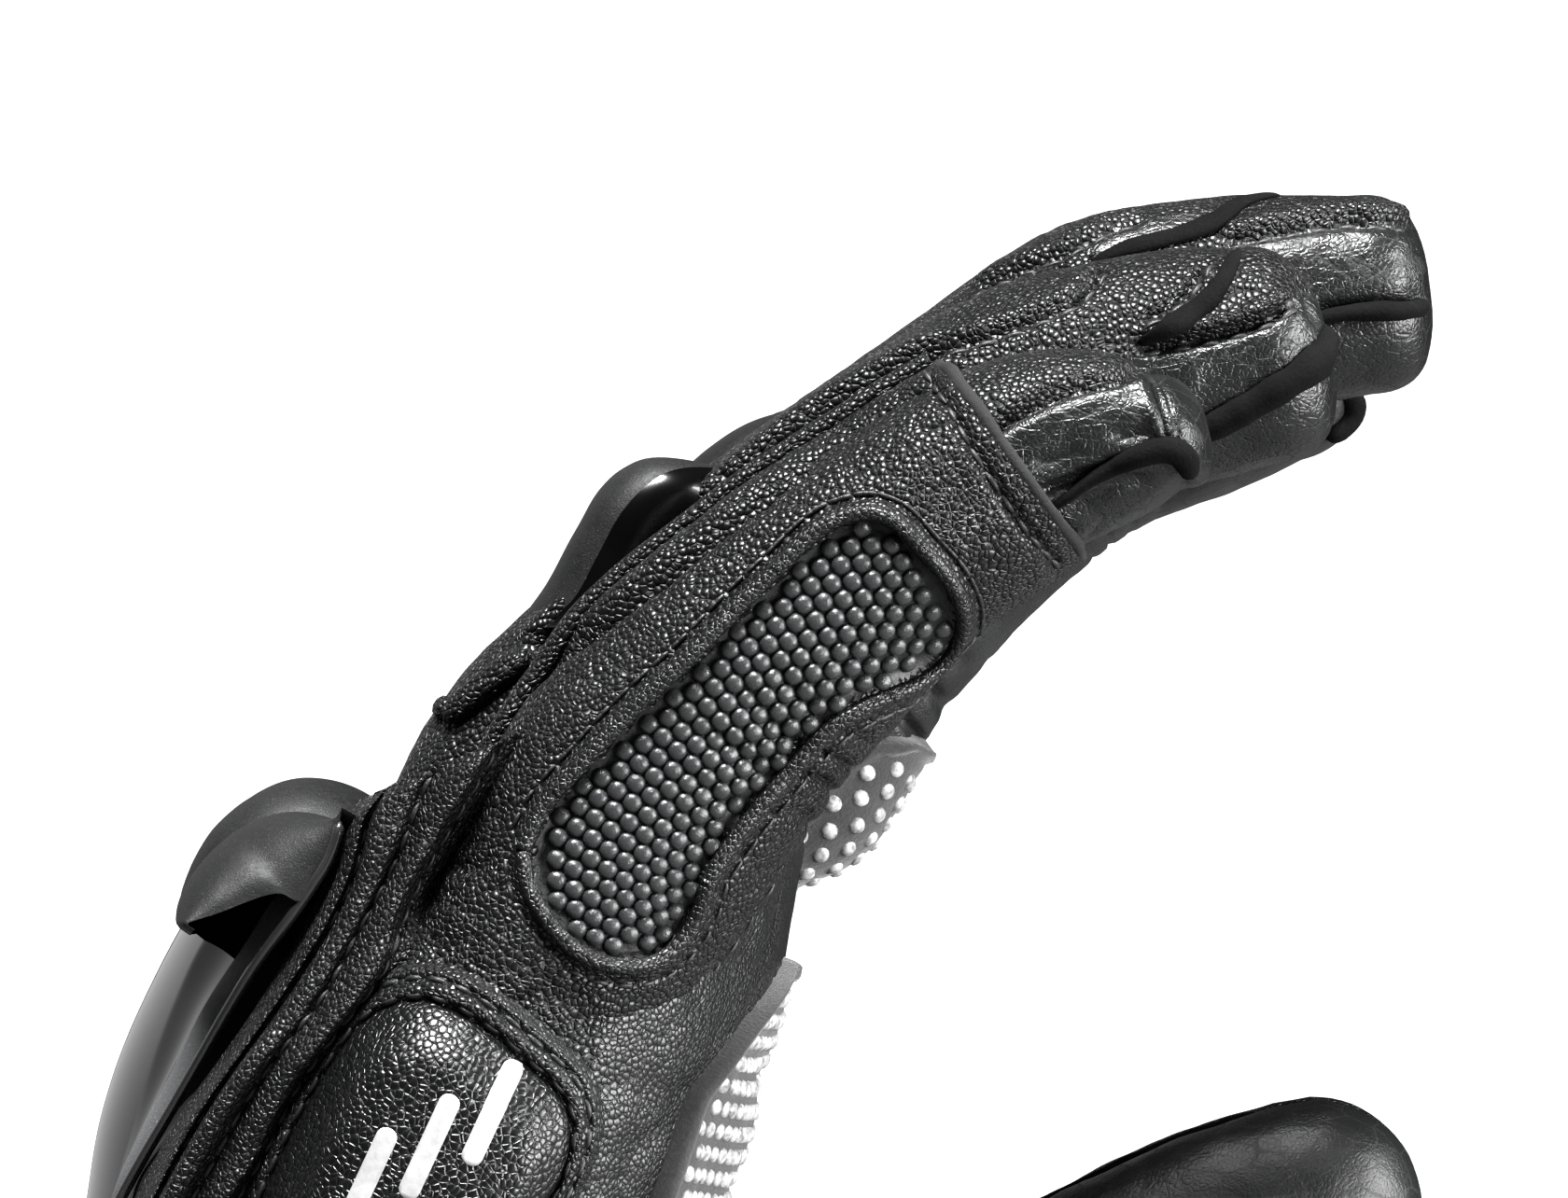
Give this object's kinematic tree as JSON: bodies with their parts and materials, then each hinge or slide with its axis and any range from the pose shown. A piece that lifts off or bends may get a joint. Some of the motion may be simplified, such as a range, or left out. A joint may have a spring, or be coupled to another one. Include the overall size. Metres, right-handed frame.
{
  "type": "motorcycle riding glove",
  "caption": "Armoured leather riding glove for the right hand, with a domed hard knuckle guard, jointed fingers and thumb, studded side pad and a strapped gauntlet cuff.",
  "frame": {"origin": "middle of the glove's footprint, on the floor it stands on; the cuff mouth is at z = 0", "axes": "+Z from the cuff towards the fingertips, +X the way the palm faces, +Y towards the thumb side"},
  "size_m": [0.1452, 0.1068, 0.2418],
  "materials": {
    "grain_leather": "matte black pebbled leather",
    "smooth_leather": "semi-gloss smooth black leather",
    "hard_shell": "high gloss black",
    "soft_rubber": "matte dark grey",
    "stud_rubber": "semi-gloss dark grey studs",
    "grip_print": "dark suede printed with light rubber dots",
    "foam": "matte foam",
    "hook_and_loop": "matte black hook-and-loop",
    "lining": "matte black knit"
  },
  "bodies": {
    "pinky_proximal": {"pinky_proximal_back": "grain_leather", "pinky_proximal_palm": "smooth_leather", "pinky_side_panel": "grain_leather", "pinky_stud_pad": "stud_rubber"},
    "pinky_middle": {"pinky_middle_sleeve": "grain_leather", "pinky_side_panel_end": "grain_leather", "pinky_stud_pad_end": "stud_rubber"},
    "pinky_distal": {"pinky_tip_back": "grain_leather", "pinky_tip_palm": "smooth_leather"},
    "ring_proximal": {"ring_proximal_back": "grain_leather", "ring_proximal_palm": "smooth_leather", "ring_knuckle_slider": "soft_rubber"},
    "ring_middle": {"ring_middle_sleeve": "grain_leather"},
    "ring_distal": {"ring_tip_back": "grain_leather", "ring_tip_palm": "smooth_leather"},
    "middle_proximal": {"middle_proximal_back": "grain_leather", "middle_proximal_palm": "smooth_leather", "middle_knuckle_slider": "soft_rubber"},
    "middle_middle": {"middle_middle_sleeve": "grain_leather"},
    "middle_distal": {"middle_tip_back": "grain_leather", "middle_tip_palm": "smooth_leather"},
    "index_proximal": {"index_proximal_back": "grain_leather", "index_proximal_palm": "smooth_leather", "index_knuckle_slider": "soft_rubber", "index_grip_strip": "grip_print"},
    "index_middle": {"index_middle_sleeve": "grain_leather"},
    "index_distal": {"index_tip_back": "grain_leather", "index_tip_palm": "smooth_leather"},
    "hand": {"hand_back_panel": "grain_leather", "hand_palm_panel": "smooth_leather", "hand_lining": "lining", "thumb_root_sleeve": "grain_leather", "palm_grip_patch": "grip_print", "ulnar_pad_foam": "foam", "ulnar_pad_cover": "smooth_leather", "knuckle_guard_foam": "foam", "knuckle_guard_base": "hard_shell", "knuckle_guard_shell": "hard_shell", "knuckle_cap_pinky": "soft_rubber", "knuckle_cap_ring": "soft_rubber", "knuckle_cap_middle": "soft_rubber", "knuckle_cap_index": "soft_rubber"},
    "thumb_proximal": {"thumb_proximal_sleeve": "grain_leather"},
    "thumb_distal": {"thumb_tip_back": "grain_leather", "thumb_tip_palm": "smooth_leather"},
    "cuff": {"cuff_back_panel": "grain_leather", "cuff_palm_panel": "smooth_leather", "cuff_lining": "lining", "cuff_binding": "smooth_leather", "cuff_loop_patch": "hook_and_loop", "wrist_loop_patch": "hook_and_loop"},
    "cuff_flap": {"cuff_flap_hook": "hook_and_loop", "cuff_flap": "grain_leather"},
    "wrist_strap": {"wrist_strap_hook": "hook_and_loop", "wrist_strap": "grain_leather", "wrist_strap_tab": "soft_rubber"}
  },
  "joints": [
    {"name": "wrist_flex", "type": "hinge", "parent": "cuff", "child": "hand", "pos_m": [-0.03184, -0.00389, 0.088], "axis": [0, 1, 0], "range_deg": [-25, 30], "stiffness_Nm_per_rad": 1.2},
    {"name": "index_knuckle", "type": "hinge", "parent": "hand", "child": "index_proximal", "pos_m": [-0.00834, 0.02811, 0.1745], "axis": [-0.0119, 0.999, -0.0438], "range_deg": [-6, 35], "stiffness_Nm_per_rad": 0.2},
    {"name": "index_middle_joint", "type": "hinge", "parent": "index_proximal", "child": "index_middle", "pos_m": [0.01873, 0.02982, 0.20617], "axis": [-0.0119, 0.999, -0.0438], "range_deg": [-12, 45], "stiffness_Nm_per_rad": 0.06},
    {"name": "index_end_joint", "type": "hinge", "parent": "index_middle", "child": "index_distal", "pos_m": [0.04029, 0.03078, 0.2224], "axis": [-0.0119, 0.999, -0.0438], "range_deg": [-7.3, 27.1]},
    {"name": "middle_knuckle", "type": "hinge", "parent": "hand", "child": "middle_proximal", "pos_m": [-0.01034, 0.00651, 0.177], "axis": [-0.0027, 0.9999, -0.0101], "range_deg": [-6, 35], "stiffness_Nm_per_rad": 0.2},
    {"name": "middle_middle_joint", "type": "hinge", "parent": "middle_proximal", "child": "middle_middle", "pos_m": [0.02116, 0.00696, 0.21349], "axis": [-0.0027, 0.9999, -0.0101], "range_deg": [-12, 45], "stiffness_Nm_per_rad": 0.06},
    {"name": "middle_end_joint", "type": "hinge", "parent": "middle_middle", "child": "middle_distal", "pos_m": [0.04414, 0.0072, 0.231], "axis": [-0.0027, 0.9999, -0.0101], "range_deg": [-7.3, 27.1]},
    {"name": "ring_knuckle", "type": "hinge", "parent": "hand", "child": "ring_proximal", "pos_m": [-0.00904, -0.01509, 0.175], "axis": [0.0046, 0.9998, 0.0168], "range_deg": [-6, 35], "stiffness_Nm_per_rad": 0.2},
    {"name": "ring_middle_joint", "type": "hinge", "parent": "ring_proximal", "child": "ring_middle", "pos_m": [0.01534, -0.01575, 0.20758], "axis": [0.0046, 0.9998, 0.0168], "range_deg": [-12, 45], "stiffness_Nm_per_rad": 0.06},
    {"name": "ring_end_joint", "type": "hinge", "parent": "ring_middle", "child": "ring_distal", "pos_m": [0.03665, -0.01613, 0.22399], "axis": [0.0046, 0.9998, 0.0168], "range_deg": [-7.3, 27.1]},
    {"name": "pinky_knuckle", "type": "hinge", "parent": "hand", "child": "pinky_proximal", "pos_m": [-0.00384, -0.03639, 0.175], "axis": [0.0137, 0.9986, 0.0505], "range_deg": [-6, 35], "stiffness_Nm_per_rad": 0.2},
    {"name": "pinky_middle_joint", "type": "hinge", "parent": "pinky_proximal", "child": "pinky_middle", "pos_m": [0.01109, -0.03785, 0.19982], "axis": [0.0137, 0.9986, 0.0505], "range_deg": [-12, 45], "stiffness_Nm_per_rad": 0.06},
    {"name": "pinky_end_joint", "type": "hinge", "parent": "pinky_middle", "child": "pinky_distal", "pos_m": [0.02685, -0.03887, 0.21556], "axis": [0.0137, 0.9986, 0.0505], "range_deg": [-7.3, 27.1]},
    {"name": "thumb_knuckle", "type": "hinge", "parent": "hand", "child": "thumb_proximal", "pos_m": [0.00816, 0.03711, 0.127], "axis": [-0.4603, 0, 0.8878], "range_deg": [-22, 16], "stiffness_Nm_per_rad": 0.2},
    {"name": "thumb_end_joint", "type": "hinge", "parent": "thumb_proximal", "child": "thumb_distal", "pos_m": [0.03516, 0.04211, 0.141], "axis": [-0.4603, 0, 0.8878], "range_deg": [-35, 12], "stiffness_Nm_per_rad": 0.06},
    {"name": "wrist_strap_hinge", "type": "hinge", "parent": "cuff", "child": "wrist_strap", "pos_m": [-0.00764, 0.02011, 0.069], "axis": [-0.1311, 0, 0.9914], "range_deg": [0, 100]},
    {"name": "cuff_flap_hinge", "type": "hinge", "parent": "cuff", "child": "cuff_flap", "pos_m": [-0.00382, 0.02611, 0.028], "axis": [-0.1878, 0, 0.9822], "range_deg": [0, 100]}
  ],
  "couplings": [
    {"joint": "index_end_joint", "follows": "index_middle_joint", "ratio": 0.6},
    {"joint": "middle_end_joint", "follows": "middle_middle_joint", "ratio": 0.6},
    {"joint": "ring_end_joint", "follows": "ring_middle_joint", "ratio": 0.6},
    {"joint": "pinky_end_joint", "follows": "pinky_middle_joint", "ratio": 0.6}
  ]
}
